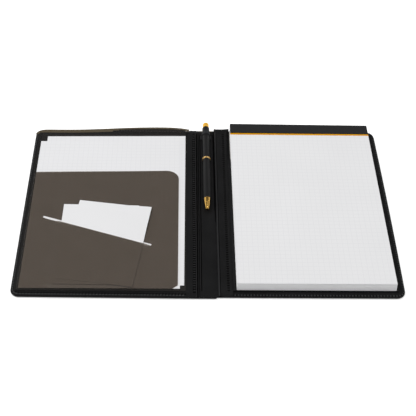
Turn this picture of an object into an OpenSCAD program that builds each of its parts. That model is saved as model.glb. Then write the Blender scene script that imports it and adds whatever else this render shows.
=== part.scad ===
// A5 portfolio case lying open. Two board-stiffened covers fold round a flat spine.
// The left cover holds two smoke-film pockets with loose sheets and two note cards,
// the right cover a headed writing pad in a lining pocket, and the spine a click pen in a loop.
// X runs along the open case, Y up the page, Z up; the origin is under the middle of the spine.

/* [Case] */
// Length of the case along the spine
case_h = 235; // [222:1:260]
// Width of one cover, from its fold line to its outer edge
cover_w = 171; // [167:1:200]
// Distance between the two fold lines
spine_w = 19; // [18:0.5:30]
// How much lower than the covers the spine's near end reaches
spine_drop = 1.2; // [0:0.1:3]
// Radius of the covers' outer corners
corner_r = 8; // [5:0.5:14]
// Thickness of the outer skin
skin_t = 0.8; // [0.6:0.1:1.2]
// Thickness of the stiffening boards
board_t = 1.7; // [1.2:0.1:2.4]
// Thickness of the inner lining
lining_t = 0.5; // [0.3:0.1:0.8]
// Thickness of the skin where it is turned over the lining as a hem
hem_t = 0.6; // [0.4:0.1:1]
// Width of the hem on the inside
hem_w = 7; // [5:0.5:9]
// Room left beside each folded-up board
fold_clear = 0.3; // [0.2:0.05:1]

/* [Film pockets] */
// Thickness of the smoke film
film_t = 0.3; // [0.2:0.05:0.5]
// How far the rear film stands in from the cover's outer edge
rear_in = 3; // [2:0.5:5]
// How far the rear film's top edge reaches past the cover
rear_over = 4; // [0:0.5:6]
// Gap from the fold line to the rear film
rear_fold_gap = 11.5; // [9:0.5:20]
// Radius of the rear film's upper outer corner
rear_r = 7; // [2:0.5:12]
// How far the front film stands in from the cover's outer edge
front_in = 5.2; // [4:0.1:6.5]
// Gap from the fold line to the front film
front_fold_gap = 19.4; // [15:0.2:30]
// Height of the front film at its outer edge
front_h = 159.5; // [120:0.5:175]
// How much higher the front film's edge is at the spine side
front_rise = 4; // [0:0.5:10]
// Radius of the front film's upper corner
front_r = 13; // [6:0.5:25]
// Size of the clipped lower corner of the front film
front_clip = 6; // [2:0.5:12]
// Width of the film's folded edge that closes the pocket
foot_w = 0.6; // [0.4:0.1:1]

/* [Card slot] */
// End to end length of the slot
slot_len = 112.6; // [90:0.5:118]
// Width of the slot
slot_w = 2.3; // [1.6:0.1:4]
// Slope of the slot, in degrees
slot_angle = -19.5; // [-24:0.5:-12]
// Middle of the slot, from the fold line
slot_x = 97.4; // [92:0.5:102]
// Middle of the slot, above the film's lower edge
slot_y = 76; // [70:0.5:90]

/* [Papers] */
// Width of an A5 sheet
sheet_w = 148; // [140:0.5:150]
// Height of an A5 sheet
sheet_h = 210; // [200:0.5:212]
// Thickness of a loose sheet
sheet_t = 0.2; // [0.1:0.05:0.3]
// Gap from the fold line to the rear loose sheet
back_sheet_gap = 12.1; // [10:0.1:14]
// Height of the rear loose sheet above the front one
back_sheet_up = 7; // [2:0.5:12]
// Width of a note card
card_w = 74; // [60:1:76]
// Height of a note card
card_h = 105; // [90:1:106]
// Thickness of a note card
card_t = 0.3; // [0.2:0.05:0.4]
// Clearance between two layers in a pocket
layer_gap = 0.1; // [0.05:0.05:0.2]

/* [Writing pad] */
// Width of the pad
pad_w = 148; // [140:0.5:150]
// Length of the pad, with its header
pad_len = 228; // [210:0.5:230]
// Gap from the fold line to the pad
pad_gap = 15.5; // [14:0.1:18]
// Distance of the pad's head from the case's top edge
pad_in = 0.8; // [0:0.1:4]
// Thickness of the block of pages
pages_t = 7.8; // [3:0.1:8.2]
// Thickness of the top page
page_t = 0.1; // [0.1:0.05:0.2]
// Thickness of the pad's backing card
backing_t = 0.8; // [0.5:0.1:1]
// Length of the header board
header_len = 16.4; // [10:0.1:20]
// Thickness of the header board
header_t = 0.5; // [0.4:0.1:0.8]
// How much wider than its thickness the header board bends over the head of the pad
header_ease = 0.3; // [0.1:0.1:0.6]
// Width of the bright stripe along the header
stripe_w = 2.8; // [1:0.1:4]
// Length of a staple's crown
staple_w = 12; // [8:0.5:14]
// Thickness of the pocket flap that holds the backing card
flap_t = 0.3; // [0.2:0.1:0.5]
// Height of the pocket flap
flap_h = 181; // [80:1:190]

/* [Pen] */
// Length of the gold nose cone
cone_len = 14.6; // [12:0.1:18]
// Radius of the nose cone's mouth
cone_tip_r = 1.7; // [1.4:0.05:2]
// How much the nose cone's side swells past a straight taper
cone_swell = 0.2; // [0:0.05:0.4]
// Radius of the nose cone where it meets the barrel
cone_r = 3.45; // [3.1:0.05:3.6]
// Length of the lower barrel
lower_len = 58.3; // [50:0.1:62]
// Largest radius of the lower barrel
lower_r = 4; // [3.8:0.05:4.2]
// Length of the centre ring
ring_len = 2.8; // [2:0.1:6]
// Radius of the centre ring
ring_r = 4.45; // [4.2:0.05:4.6]
// Length of the upper barrel
upper_len = 48.3; // [38:0.1:50]
// Radius of the upper barrel below the ring's collar
upper_r = 3.7; // [3.55:0.05:3.8]
// Radius of the plunger inside the upper barrel
plunger_r = 2.6; // [2.3:0.05:2.7]
// Length of the gold push cap that shows above the barrel
cap_len = 8.4; // [7:0.1:12]
// Radius of the gold push cap
cap_r = 3.2; // [2.8:0.05:3.3]
// Wall of the upper barrel round the push cap
cap_wall = 0.45; // [0.4:0.05:0.6]
// Travel of the push button
press = 4; // [3:0.1:4]
// How far the pen's cap stands past the case's top edge
pen_over = 6.4; // [0:0.1:8]
// Radius of the refill tube
refill_r = 1.6; // [1.4:0.05:1.7]
// Length of the pen loop along the pen
loop_len = 6.8; // [5:0.1:12]
// How far below the barrel's top end the loop holds the pen
loop_below = 6; // [1:0.5:12]
// Thickness of the pen loop's elastic
loop_t = 0.9; // [0.6:0.1:1.2]
// Clearance round the pen in its loop
loop_clear = 0.35; // [0.3:0.05:0.6]

/* [Hidden] */
$fn = 48;
cut = 1;                                   // how far a cutter passes a face
half_h = case_h / 2;
fold_x = spine_w / 2;
edge_x = fold_x + cover_w;
edge_t = 0.9;                              // skin thickness at the rim, beside the board
lining_top = skin_t + board_t + lining_t;
hem_top = lining_top + hem_t;
rim_r = hem_top / 2;                       // the covers' edges are turned to a half round
fold_gap = hem_top - skin_t + fold_clear;  // bare skin on each side of a fold line
block_x = fold_x + fold_gap;               // where a cover's board begins
spine_half = fold_x - fold_gap;            // half width of the spine's board
spine_y0 = -half_h - spine_drop;

rear_z = hem_top;
back_sheet_z = rear_z + film_t + layer_gap;
front_sheet_z = back_sheet_z + sheet_t + layer_gap;
film_z = front_sheet_z + sheet_t + layer_gap;       // film above the slot, behind the cards
card_left_z = film_z + film_t + layer_gap;
card_right_z = card_left_z + card_t + layer_gap;
lip_z = card_right_z + card_t + layer_gap;          // film below the slot, in front of the cards
pocket_room = 0.3;                                  // between a paper's edge and a closed side

rear_x0 = -edge_x + rear_in;
rear_x1 = -fold_x - rear_fold_gap;
rear_y0 = -half_h + 4.5;
rear_y1 = half_h + rear_over;
front_x0 = -edge_x + front_in;
front_x1 = -fold_x - front_fold_gap;
front_y0 = rear_y0 + 1.2;
front_y1 = front_y0 + front_h;
slot_at = [-fold_x - slot_x, front_y0 + slot_y];

front_sheet_at = [front_x0 + foot_w + pocket_room, front_y0 + foot_w + pocket_room];
back_sheet_at = [-fold_x - back_sheet_gap - sheet_w, front_sheet_at[1] + back_sheet_up];
// Upper left corner of each note card, from the middle of the slot, and its turn
card_left_at = slot_at + [-34.2, 35.9];
card_left_turn = -1;
card_right_at = slot_at + [-19, 41.5];
card_right_turn = -8.3;

pad_x = fold_x + pad_gap;
pad_y1 = half_h - pad_in;
pad_y0 = pad_y1 - pad_len;
backing_z = hem_top + layer_gap;
flap_z = backing_z + backing_t + layer_gap;
pages_z = flap_z + flap_t + layer_gap;
page_z = pages_z + pages_t;
header_z = page_z + page_t;
header_y0 = pad_y1 - header_len;
flap_foot = 1;                                      // seam allowance that closes the flap
flap_x0 = block_x + 0.6;
flap_x1 = edge_x - hem_w + flap_foot;
flap_y0 = -half_h + hem_w - flap_foot;
staple_t = 0.3;
staple_leg_r = 0.35;
staple_room = 0.05;
staple_x = [pad_x + pad_w * 0.25, pad_x + pad_w * 0.75];
staple_y = (header_y0 + stripe_w + pad_y1) / 2;

cap_room = 0.1;                                     // between the push cap and its bore
top_r = cap_r + cap_room + cap_wall;                // upper barrel's radius at its top
loop_in_r = max(upper_r, top_r) - 0.05 + loop_clear;
loop_out_r = loop_in_r + loop_t;
pen_z = lining_top + loop_out_r;
lower_s = cone_len;                                 // stations along the pen, from its mouth
ring_s = lower_s + lower_len;
upper_s = ring_s + ring_len;
top_s = upper_s + upper_len;
cap_seat = 0.6;                                     // how deep the push cap's foot sits
cap_s = top_s - cap_seat;
pen_len = top_s + cap_len;
pen_tip_y = half_h + pen_over - pen_len;
loop_y = pen_tip_y + top_s - loop_below - loop_len;
pen_wall = 0.8;
step_s = lower_s + 2.2;                             // the spring's seat in the lower barrel
step_r = refill_r + 0.3;
refill_s = 0.6;                                     // the ball rests just inside the mouth
refill_neck_r = 1;
mouth_r = refill_neck_r + 0.2;                      // hole in the nose cone
refill_neck_s = cone_len - 5.8 + press;             // where the neck meets the tube
spring_len = 20;
flange_t = 1;
plunger_s = 107.6;                                  // where the plunger meets the refill
plunger_room = 0.1;
spring_wire_r = 0.2;
spring_turns = 8;

skin_black = [0.13, 0.13, 0.13];
lining_black = [0.15, 0.15, 0.15];
board_grey = [0.6, 0.58, 0.55];
smoke = [0.25, 0.22, 0.18, 0.7];
paper_white = [0.93, 0.93, 0.93];
card_white = [0.96, 0.96, 0.96];
gold = [0.85, 0.65, 0.28];
stripe_yellow = [0.96, 0.69, 0.08];

// ---------- covers ----------

// Plan of the right cover from x0 outwards, drawn in by inset on its three free sides
module cover_plan(x0, inset) {
    r = corner_r - inset;
    x1 = edge_x - inset;
    h = half_h - inset;
    translate([x0, -h]) square([x1 - r - x0, 2 * h]);
    translate([x1 - r - 0.5, -h + r]) square([r + 0.5, 2 * h - 2 * r]);
    for (s = [-1, 1]) translate([x1 - r, s * (h - r)]) circle(r);
}

// Solid cover block with half-round free edges
module cover_block() {
    run_x = edge_x - corner_r - block_x;
    linear_extrude(hem_top) cover_plan(block_x, rim_r);
    for (s = [-1, 1]) {
        translate([block_x, s * (half_h - rim_r), rim_r])
            rotate([0, 90, 0]) cylinder(h = run_x, r = rim_r);
        translate([edge_x - corner_r, s * (half_h - corner_r), rim_r])
            rotate([0, 0, s < 0 ? -90 : 0])
                rotate_extrude(angle = 90) translate([corner_r - rim_r, 0]) circle(rim_r);
    }
    translate([edge_x - rim_r, -half_h + corner_r, rim_r])
        rotate([-90, 0, 0]) cylinder(h = case_h - 2 * corner_r, r = rim_r);
}

// Outer skin of one cover: the sheet under the board, turned round three edges into a hem
module cover_skin() {
    difference() {
        cover_block();
        translate([0, 0, skin_t]) linear_extrude(lining_top - skin_t)
            cover_plan(block_x - cut, edge_t);
        translate([0, 0, skin_t]) linear_extrude(hem_top)
            translate([block_x - cut, -half_h + hem_w])
                square([edge_x - hem_w - block_x + cut, case_h - 2 * hem_w]);
    }
    translate([fold_x, -half_h, 0]) cube([fold_gap + cut, case_h, skin_t]);
}

module cover_board() {
    translate([0, 0, skin_t]) linear_extrude(board_t)
        cover_plan(block_x + lining_t, edge_t);
}

// Lining of one cover, glued over the board and turned down beside the fold
module cover_lining() {
    translate([0, 0, skin_t + board_t]) linear_extrude(lining_t)
        cover_plan(block_x, edge_t);
    translate([block_x, -half_h + edge_t, skin_t])
        cube([lining_t, case_h - 2 * edge_t, board_t + lining_t / 2]);
}

module right_skin() color(skin_black) cover_skin();
module right_board() color(board_grey) cover_board();
module right_lining() color(lining_black) cover_lining();
module left_skin() color(skin_black) mirror([1, 0, 0]) cover_skin();
module left_board() color(board_grey) mirror([1, 0, 0]) cover_board();
module left_lining() color(lining_black) mirror([1, 0, 0]) cover_lining();

// ---------- spine ----------

module spine_skin() color(skin_black) {
    translate([-fold_x, spine_y0, 0]) cube([spine_w, half_h - spine_y0, skin_t]);
    difference() {
        union() {
            translate([-spine_half, spine_y0 + rim_r, 0])
                cube([2 * spine_half, half_h - spine_y0 - 2 * rim_r, hem_top]);
            for (y = [spine_y0 + rim_r, half_h - rim_r])
                translate([-spine_half, y, rim_r])
                    rotate([0, 90, 0]) cylinder(h = 2 * spine_half, r = rim_r);
        }
        translate([-spine_half - cut, spine_y0 + edge_t, skin_t])
            cube([2 * spine_half + 2 * cut, half_h - spine_y0 - 2 * edge_t, lining_top - skin_t]);
        translate([-spine_half - cut, spine_y0 + hem_w, skin_t])
            cube([2 * spine_half + 2 * cut, half_h - spine_y0 - 2 * hem_w, hem_top]);
    }
}

module spine_board() color(board_grey)
    translate([-spine_half + lining_t, spine_y0 + edge_t, skin_t])
        cube([2 * (spine_half - lining_t), half_h - spine_y0 - 2 * edge_t, board_t]);

module spine_lining() color(lining_black) {
    len = half_h - spine_y0 - 2 * edge_t;
    translate([-spine_half, spine_y0 + edge_t, skin_t + board_t])
        cube([2 * spine_half, len, lining_t]);
    for (x = [-spine_half, spine_half - lining_t])
        translate([x, spine_y0 + edge_t, skin_t])
            cube([lining_t, len, board_t + lining_t / 2]);
}

// Elastic loop sewn flat to the spine, standing round the pen's upper barrel
module pen_loop() color(lining_black) difference() {
    tab_half = spine_half - 0.4;
    union() {
        translate([0, loop_y, pen_z]) rotate([-90, 0, 0]) cylinder(h = loop_len, r = loop_out_r);
        translate([-tab_half, loop_y, lining_top]) cube([2 * tab_half, loop_len, loop_t]);
    }
    translate([0, loop_y - cut, pen_z]) rotate([-90, 0, 0])
        cylinder(h = loop_len + 2 * cut, r = loop_in_r);
}

// ---------- film pockets ----------

// Full-height sleeve of smoke film; its free top edge reaches past the cover
module rear_film_pocket() color(smoke)
    translate([0, 0, rear_z]) linear_extrude(film_t) {
        translate([rear_x0, rear_y0]) square([rear_x1 - rear_x0, rear_y1 - rear_r - rear_y0]);
        translate([rear_x0 + rear_r, rear_y1 - rear_r - cut])
            square([rear_x1 - rear_x0 - rear_r, rear_r + cut]);
        translate([rear_x0 + rear_r, rear_y1 - rear_r]) circle(rear_r);
    }

// Outline of the front sleeve: rising upper edge, round upper corner, clipped lower corner
module front_plan() {
    slope = atan2(front_rise, front_x1 - front_x0);
    centre = [front_x1 - front_r, front_y1 + front_rise - front_r * (1 + tan(slope))];
    polygon(concat(
        [[front_x0, front_y1], [front_x0, front_y0], [front_x1 - front_clip, front_y0],
         [front_x1, front_y0 + front_clip]],
        [for (i = [0:16]) let (turn = i / 16 * (90 + slope)) centre + front_r * [cos(turn), sin(turn)]]
    ));
}

module slot_frame() translate([slot_at[0], slot_at[1], 0]) rotate([0, 0, slot_angle]) children();

// Side view across the slot: from bottom_low and bottom_high up to the film's top face,
// at the upper level behind the slot and at the lip's level in front of it
module step_profile(bottom_low, bottom_high) {
    far = 2 * front_h;
    ramp = slot_w / 2 - 0.15;
    polygon([
        [far, film_z + film_t], [ramp, film_z + film_t], [-ramp, lip_z + film_t], [-far, lip_z + film_t],
        [-far, bottom_high], [-ramp, bottom_high], [ramp, bottom_low], [far, bottom_low]
    ]);
}

module along_slot() slot_frame() rotate([90, 0, 90])
    linear_extrude(4 * front_h, center = true) children();

module front_film_pocket() color(smoke) {
    foot_z = rear_z + film_t;
    height = lip_z + film_t + cut;
    difference() {
        intersection() {
            linear_extrude(height) front_plan();
            along_slot() step_profile(film_z, lip_z);
        }
        slot_frame() linear_extrude(height) {
            translate([-(slot_len - slot_w) / 2, -slot_w / 2]) square([slot_len - slot_w, slot_w]);
            for (s = [-1, 1]) translate([s * (slot_len - slot_w) / 2, 0]) circle(slot_w / 2);
        }
    }
    // closed outer side and closed lower side, standing on the rear film
    intersection() {
        linear_extrude(height) {
            translate([front_x0, front_y0]) square([foot_w, front_h]);
            translate([front_x0, front_y0]) square([front_x1 - front_clip - front_x0, foot_w]);
        }
        along_slot() step_profile(foot_z, foot_z);
    }
}

// ---------- papers on the left ----------

module sheet_at(at, z) translate([at[0], at[1], z]) cube([sheet_w, sheet_h, sheet_t]);

module back_sheet() color(paper_white) sheet_at(back_sheet_at, back_sheet_z);
module front_sheet() color(paper_white) sheet_at(front_sheet_at, front_sheet_z);

module card_at(at, turn, z) translate([at[0], at[1], z]) rotate([0, 0, turn])
    translate([0, -card_h, 0]) cube([card_w, card_h, card_t]);

module left_card() color(card_white) card_at(card_left_at, card_left_turn, card_left_z);
module right_card() color(card_white) card_at(card_right_at, card_right_turn, card_right_z);

// ---------- writing pad ----------

// Flap of lining sewn down on three sides; the pad's backing card slips under it
module pad_pocket_flap() color(lining_black) {
    lap = 2.4;                              // seam beside the fold, flat on the lining
    rise = pad_x - 0.6;                     // where the flap has risen clear of the backing card
    translate([0, flap_y0 + flap_h, 0]) rotate([90, 0, 0]) linear_extrude(flap_h) polygon([
        [flap_x0, lining_top], [flap_x0 + lap, lining_top], [rise, flap_z],
        [flap_x1 - flap_foot, flap_z], [flap_x1 - flap_foot, hem_top], [flap_x1, hem_top],
        [flap_x1, flap_z + flap_t], [rise - 0.1, flap_z + flap_t],
        [flap_x0 + lap - 0.1, lining_top + flap_t], [flap_x0, lining_top + flap_t]
    ]);
    translate([rise, flap_y0, hem_top])
        cube([flap_x1 - rise, flap_foot, flap_z - hem_top + flap_t / 2]);
}

module staple_holes() {
    for (x = staple_x, s = [-1, 1])
        translate([x + s * (staple_w / 2 - staple_leg_r), staple_y, backing_z + backing_t / 2])
            cylinder(h = header_z - backing_z, r = staple_leg_r + staple_room);
}

module pad_backing() color(paper_white) difference() {
    y0 = flap_y0 + flap_foot + pocket_room;
    translate([pad_x, y0, backing_z]) cube([pad_w, pad_y1 - header_t - y0, backing_t]);
    staple_holes();
}

module pad_pages() color(paper_white) difference() {
    translate([pad_x, pad_y0, pages_z]) cube([pad_w, pad_len - header_t, pages_t]);
    staple_holes();
}

module pad_top_page() color(paper_white) difference() {
    translate([pad_x, pad_y0, page_z]) cube([pad_w, pad_len - header_t, page_t]);
    staple_holes();
}

// Black board folded over the head of the pad and down its end
module pad_header() color(skin_black) difference() {
    bend_r = header_t + header_ease;
    top = header_z + header_t;
    translate([pad_x, 0, 0]) rotate([90, 0, 90]) linear_extrude(pad_w) polygon(concat(
        [[header_y0 + stripe_w, header_z], [pad_y1 - header_t, header_z],
         [pad_y1 - header_t, backing_z], [pad_y1, backing_z]],
        [for (turn = [0 : 15 : 90])
            [pad_y1 - bend_r, top - bend_r] + bend_r * [cos(turn), sin(turn)]],
        [[header_y0 + stripe_w, top]]
    ));
    pocket_r = staple_leg_r + staple_room;
    for (x = staple_x)
        translate([x - staple_w / 2 - staple_room, staple_y - pocket_r, header_z - cut])
            cube([staple_w + 2 * staple_room, 2 * pocket_r, cut + staple_t + staple_room]);
}

module pad_stripe() color(stripe_yellow)
    translate([pad_x, header_y0, header_z]) cube([pad_w, stripe_w, header_t]);

// Two wire staples under the header, through the pages into the backing card
module pad_staples() color("silver") for (x = staple_x) {
    translate([x - staple_w / 2, staple_y - staple_leg_r, header_z])
        cube([staple_w, 2 * staple_leg_r, staple_t]);
    for (s = [-1, 1])
        translate([x + s * (staple_w / 2 - staple_leg_r), staple_y, backing_z + backing_t / 2])
            cylinder(h = header_z - backing_z - backing_t / 2 + staple_t / 2, r = staple_leg_r);
}

// ---------- pen ----------

// Turns a profile of [radius, station] points about the pen's axis
module pen_turn(points) translate([0, pen_tip_y, pen_z]) rotate([-90, 0, 0])
    rotate_extrude() polygon(points);

function mix(a, b, t) = a + (b - a) * t;
// Lower barrel's radius at a share t of its length: swells, then draws in to the cone
function lower_radius(t) = t < 0.5
    ? mix(cone_r + 0.1, lower_r, sin(180 * t))
    : mix(lower_r, upper_r, (1 - cos(360 * (t - 0.5))) / 2);

// Turned nose: a swelling taper that rolls in to the mouth
module pen_nose_cone() {
    steps = 6;
    lip_r = cone_tip_r - mouth_r;
    shoulder_s = cone_len - 0.6;
    color(gold) pen_turn(concat(
        [for (turn = [0 : 22.5 : 67.5]) [mouth_r + lip_r * sin(turn), lip_r - lip_r * cos(turn)]],
        [for (i = [0 : steps]) let (t = i / steps)
            [mix(cone_tip_r, cone_r - 0.05, t) + cone_swell * sin(180 * t), mix(lip_r, shoulder_s, t)]],
        [[cone_r, shoulder_s + 0.2], [cone_r, cone_len], [cone_r - pen_wall, cone_len],
         [cone_r - pen_wall - 0.3, cone_len - 2], [mouth_r, 3]]
    ));
}

module pen_lower_barrel() {
    steps = 14;
    bore_r = cone_r + 0.1 - pen_wall;
    color(skin_black) pen_turn(concat(
        [for (i = [0 : steps]) [lower_radius(i / steps), lower_s + lower_len * i / steps]],
        [[bore_r, ring_s], [bore_r, step_s], [step_r, step_s], [step_r, lower_s]]
    ));
}

// Domed band between the barrels
module pen_centre_ring() {
    steps = 8;
    bore_r = cone_r + 0.1 - pen_wall;
    color(gold) pen_turn(concat(
        [for (i = [0 : steps]) [mix(upper_r, ring_r, sin(180 * i / steps)), ring_s + ring_len * i / steps]],
        [[bore_r, upper_s], [bore_r, ring_s]]
    ));
}

// Upper barrel, bored wider at its top, where the push cap runs in
module pen_upper_barrel() {
    bore_r = plunger_r + 0.1;
    cap_bore_r = cap_r + cap_room;
    stop_s = cap_s - press - 0.3;
    color(skin_black) pen_turn([
        [upper_r, upper_s], [upper_r - 0.05, upper_s + upper_len * 0.5],
        [top_r, top_s - 0.4], [top_r - 0.15, top_s], [cap_bore_r, top_s],
        [cap_bore_r, stop_s], [bore_r, stop_s], [bore_r, upper_s]
    ]);
}

// Black plunger that runs in the upper barrel, between the push cap and the refill
module pen_plunger() color(lining_black) pen_turn([
    [0, plunger_s + plunger_room], [plunger_r - 0.4, plunger_s + plunger_room],
    [plunger_r, plunger_s + 1], [plunger_r, cap_s], [0, cap_s]
]);

module pen_push_cap() {
    steps = 8;
    dome = 2.6;
    color(gold) pen_turn(concat(
        [[0, cap_s], [cap_r - 0.2, cap_s], [cap_r, cap_s + 0.3], [cap_r, pen_len - dome]],
        [for (i = [1 : steps]) [cap_r * cos(90 * i / steps), pen_len - dome + dome * sin(90 * i / steps)]]
    ));
}

module pen_refill() color("silver") pen_turn([
    [0, refill_s], [0.35, refill_s], [0.5, refill_s + 0.6], [refill_neck_r, refill_s + 2.4],
    [refill_neck_r, refill_neck_s], [refill_r, refill_neck_s],
    [refill_r, step_s + spring_len], [refill_r + 0.65, step_s + spring_len],
    [refill_r + 0.65, step_s + spring_len + flange_t], [refill_r, step_s + spring_len + flange_t],
    [refill_r, plunger_s], [0, plunger_s]
]);

// Return spring between the barrel's step and the refill's flange
module pen_spring() {
    sides = 6;
    per_turn = 12;
    rings = spring_turns * per_turn;
    coil_r = refill_r + 0.15 + spring_wire_r;
    length = spring_len - 2 * spring_wire_r - 2 * layer_gap;
    points = [for (i = [0 : rings], j = [0 : sides - 1])
        let (a = 360 * i / per_turn, b = 360 * j / sides, r = coil_r + spring_wire_r * cos(b))
            [r * cos(a), r * sin(a), length * i / rings + spring_wire_r * sin(b)]];
    walls = [for (i = [0 : rings - 1], j = [0 : sides - 1])
        let (k = (j + 1) % sides)
            [i * sides + j, i * sides + k, (i + 1) * sides + k, (i + 1) * sides + j]];
    near_end = [[for (j = [0 : sides - 1]) sides - 1 - j]];
    far_end = [[for (j = [0 : sides - 1]) rings * sides + j]];
    color("silver")
        translate([0, pen_tip_y + step_s + layer_gap + spring_wire_r, pen_z]) rotate([-90, 0, 0])
            polyhedron(points, concat(walls, near_end, far_end), convexity = 10);
}

right_skin();
right_board();
right_lining();
spine_skin();
spine_board();
spine_lining();
left_skin();
left_board();
left_lining();
rear_film_pocket();
front_film_pocket();
back_sheet();
front_sheet();
left_card();
right_card();
pad_pocket_flap();
pad_backing();
pad_pages();
pad_top_page();
pad_header();
pad_stripe();
pad_staples();
pen_loop();
pen_nose_cone();
pen_lower_barrel();
pen_centre_ring();
pen_upper_barrel();
pen_plunger();
pen_push_cap();
pen_refill();
pen_spring();
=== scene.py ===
import math
import random
import bmesh
import bpy
from mathutils import Matrix, Vector


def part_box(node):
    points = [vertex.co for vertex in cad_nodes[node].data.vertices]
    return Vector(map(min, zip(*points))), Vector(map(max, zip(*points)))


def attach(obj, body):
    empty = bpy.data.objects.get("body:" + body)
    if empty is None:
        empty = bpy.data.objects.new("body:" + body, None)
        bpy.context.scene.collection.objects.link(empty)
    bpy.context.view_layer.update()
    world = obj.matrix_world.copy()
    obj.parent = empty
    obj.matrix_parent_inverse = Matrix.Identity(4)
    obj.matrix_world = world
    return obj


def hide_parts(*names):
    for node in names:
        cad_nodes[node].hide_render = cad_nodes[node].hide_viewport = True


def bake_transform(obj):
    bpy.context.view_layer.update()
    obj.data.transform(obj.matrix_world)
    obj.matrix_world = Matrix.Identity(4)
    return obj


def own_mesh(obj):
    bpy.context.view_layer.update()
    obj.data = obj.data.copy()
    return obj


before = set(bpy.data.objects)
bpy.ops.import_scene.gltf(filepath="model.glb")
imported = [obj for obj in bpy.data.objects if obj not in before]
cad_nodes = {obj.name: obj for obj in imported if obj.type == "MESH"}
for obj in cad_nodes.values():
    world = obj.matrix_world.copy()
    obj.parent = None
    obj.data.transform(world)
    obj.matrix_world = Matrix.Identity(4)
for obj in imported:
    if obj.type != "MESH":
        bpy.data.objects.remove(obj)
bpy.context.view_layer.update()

bpy.ops.object.select_all(action="DESELECT")

# ---------------------------------------------------------------- camera
# The case is seen from in front of its near edge and well above it, with a long lens.
camera = bpy.data.objects.new("camera", bpy.data.cameras.new("camera"))
bpy.context.scene.collection.objects.link(camera)
camera.data.lens = 88.0
camera.data.clip_end = 20
# where it stands, and its pan, its look down and its roll in degrees
stand, pan, look_down, roll = (-0.0265, -0.7266, 0.7012), -2.16, 43.9, 1.94
camera.matrix_world = (
    Matrix.Translation(stand)
    @ Matrix.Rotation(math.radians(pan), 4, "Z")
    @ Matrix.Rotation(math.radians(90 - look_down), 4, "X")
    @ Matrix.Rotation(math.radians(roll), 4, "Z")
)
bpy.context.scene.camera = camera
bpy.context.scene.view_settings.view_transform = "Standard"


# ---------------------------------------------------------------- floor and light
# A white sweep under soft light from all round, and two softboxes overhead, the left one stronger,
# which give the low parts their soft shadows. A narrow one behind gives the plated parts a streak.


def colour(code):
    """Linear colour of an sRGB hex code."""
    parts = [int(code[i:i + 2], 16) / 255 for i in (0, 2, 4)]
    return [c / 12.92 if c <= 0.04045 else ((c + 0.055) / 1.055) ** 2.4 for c in parts] + [1]


def node(owner, kind, inputs, **settings):
    """Adds a node: inputs are socket values or links, settings the node's own. Returns its outputs."""
    made = owner.node_tree.nodes.new(kind)
    for name, value in settings.items():
        setattr(made, name, value)
    for name, value in inputs.items():
        if isinstance(value, bpy.types.NodeSocket):
            owner.node_tree.links.new(value, made.inputs[name])
        else:
            made.inputs[name].default_value = value
    return made.outputs


def new_material(name):
    """An empty material, ready for its nodes."""
    made = bpy.data.materials.new(name)
    made.use_nodes = True
    made.node_tree.nodes.clear()
    return made


sky = bpy.data.worlds.new("sky")
sky.use_nodes = True
sky.node_tree.nodes.clear()
bpy.context.scene.world = sky


def seen_directly(owner):
    """1 for rays that show the background itself: to the camera, off a gloss or through the film."""
    ray = node(owner, "ShaderNodeLightPath", {})
    gloss = node(owner, "ShaderNodeMath", {0: ray["Is Camera Ray"], 1: ray["Is Glossy Ray"]},
                 operation="MAXIMUM")[0]
    return node(owner, "ShaderNodeMath", {0: gloss, 1: ray["Is Transmission Ray"]}, operation="MAXIMUM")[0]


# the room is white at eye level and darker overhead, which the plated parts mirror
up = node(sky, "ShaderNodeSeparateXYZ", {0: node(sky, "ShaderNodeTexCoord", {})["Generated"]})[2]
level = node(sky, "ShaderNodeMapRange", {"Value": up, 1: 0.25, 2: 0.6, 3: 1.0, 4: 0.12})[0]
ray = node(sky, "ShaderNodeLightPath", {})
strength = node(sky, "ShaderNodeMath", {0: level, 1: ray["Is Camera Ray"]}, operation="MAXIMUM")[0]
lit = node(sky, "ShaderNodeBackground", {"Color": (1, 1, 1, 1), "Strength": 0.42})[0]
seen = node(sky, "ShaderNodeBackground", {"Color": (1, 1, 1, 1), "Strength": strength})[0]
chosen = node(sky, "ShaderNodeMixShader", {0: seen_directly(sky), 1: lit, 2: seen})[0]
node(sky, "ShaderNodeOutputWorld", {"Surface": chosen})

# each softbox: its middle, its side in metres and its power in watts
softboxes = (((-0.75, 0.1, 1.35), 0.7, 11), ((0.8, -0.1, 1.35), 0.7, 6), ((0.0, 0.6, 1.3), 0.12, 0.5))
for place, size, power in softboxes:
    lamp = bpy.data.objects.new("softbox", bpy.data.lights.new("softbox", "AREA"))
    bpy.context.scene.collection.objects.link(lamp)
    lamp.data.size = size
    lamp.data.energy = power
    lamp.location = place
    lamp.rotation_mode = "QUATERNION"
    lamp.rotation_quaternion = (-lamp.location).to_track_quat("-Z", "Y")

bpy.ops.mesh.primitive_plane_add(size=8, location=(0, 0, -0.0003))
floor = bpy.context.object
floor.name = "floor"
sweep = new_material("white_sweep")
paint = node(sweep, "ShaderNodeBsdfDiffuse", {"Color": (0.86, 0.86, 0.86, 1)})[0]
bounce = node(sweep, "ShaderNodeBsdfDiffuse", {"Color": (0.7, 0.7, 0.7, 1)})[0]
glow = node(sweep, "ShaderNodeEmission", {"Color": (1, 1, 1, 1), "Strength": 0.52})[0]
both = node(sweep, "ShaderNodeAddShader", {0: paint, 1: glow})[0]
chosen = node(sweep, "ShaderNodeMixShader", {0: seen_directly(sweep), 1: bounce, 2: both})[0]
node(sweep, "ShaderNodeOutputMaterial", {"Surface": chosen})
floor.data.materials.append(sweep)


# ---------------------------------------------------------------- outer skin
# One sheet of black leatherette wraps the three boards and is turned in as a hem all round. It is
# made in two halves that meet under the pen, and each bends over its own fold line. Its coat has
# a low satin sheen, broken by the grain.
leatherette = new_material("pu_coated_leatherette")


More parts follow.
